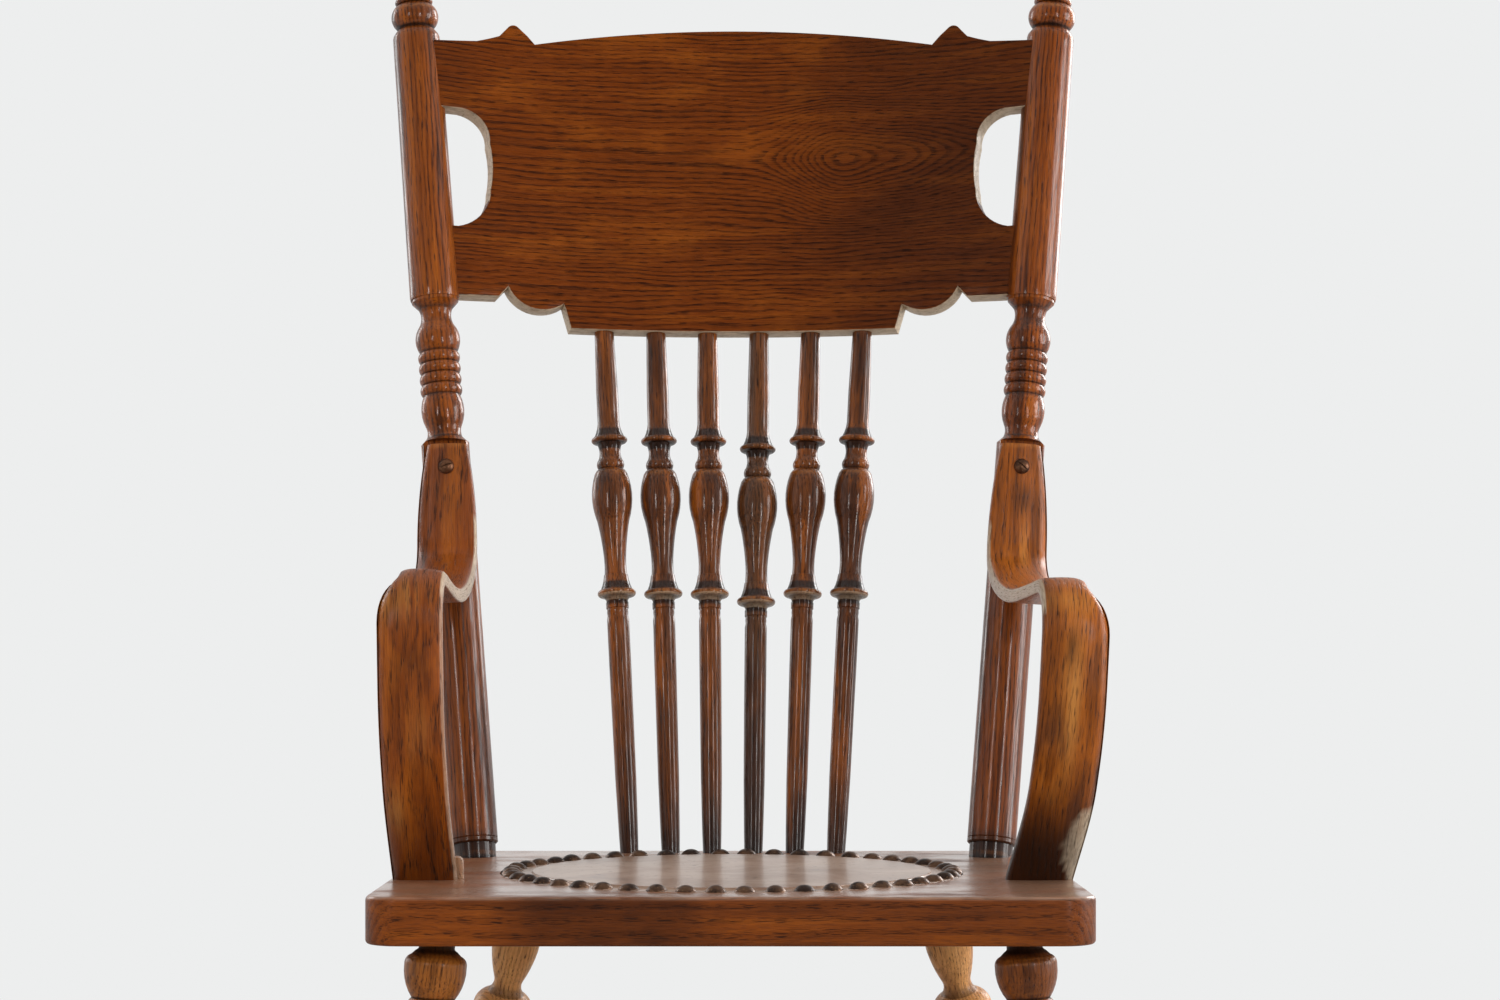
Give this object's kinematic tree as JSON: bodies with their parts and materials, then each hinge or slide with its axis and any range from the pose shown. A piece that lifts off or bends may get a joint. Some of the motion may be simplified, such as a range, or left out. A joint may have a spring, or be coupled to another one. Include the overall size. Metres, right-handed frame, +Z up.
{
  "type": "rocking chair",
  "caption": "Wooden rocking chair with a plank seat and round panel, turned posts, legs and spindles, a bent headboard and bentwood arms on curved rockers.",
  "frame": {"origin": "on the floor, midway between the points where the two rockers touch it, which is the middle of the bottom of the part's box", "axes": "+X to the sitter's left (the right of the picture), +Y to the back of the chair, +Z up"},
  "size_m": [0.5686, 0.8084, 1.1413],
  "materials": {
    "dark_oak": "satin",
    "pressed_board": "satin",
    "nail_brass": "aged",
    "screw_steel": "aged"
  },
  "bodies": {
    "root": {"seat_board": "dark_oak", "post_left": "dark_oak", "post_right": "dark_oak", "headboard": "dark_oak", "back_spindle_1": "dark_oak", "back_spindle_2": "dark_oak", "back_spindle_3": "dark_oak", "back_spindle_4": "dark_oak", "back_spindle_5": "dark_oak", "back_spindle_6": "dark_oak", "arm_left": "dark_oak", "arm_right": "dark_oak", "arm_block_left": "dark_oak", "arm_block_right": "dark_oak", "front_leg_left": "dark_oak", "front_leg_right": "dark_oak", "rear_leg_left": "dark_oak", "rear_leg_right": "dark_oak", "front_stretcher_upper": "dark_oak", "front_stretcher_lower": "dark_oak", "side_stretcher_left_upper": "dark_oak", "side_stretcher_left_lower": "dark_oak", "side_stretcher_right_upper": "dark_oak", "side_stretcher_right_lower": "dark_oak", "rear_stretcher": "dark_oak", "rocker_left": "dark_oak", "rocker_right": "dark_oak", "headboard_pins": "dark_oak", "rocker_pins": "dark_oak", "seat_panel": "pressed_board", "seat_nails": "nail_brass", "arm_post_screws": "screw_steel", "arm_foot_screws": "screw_steel"}
  },
  "joints": []
}
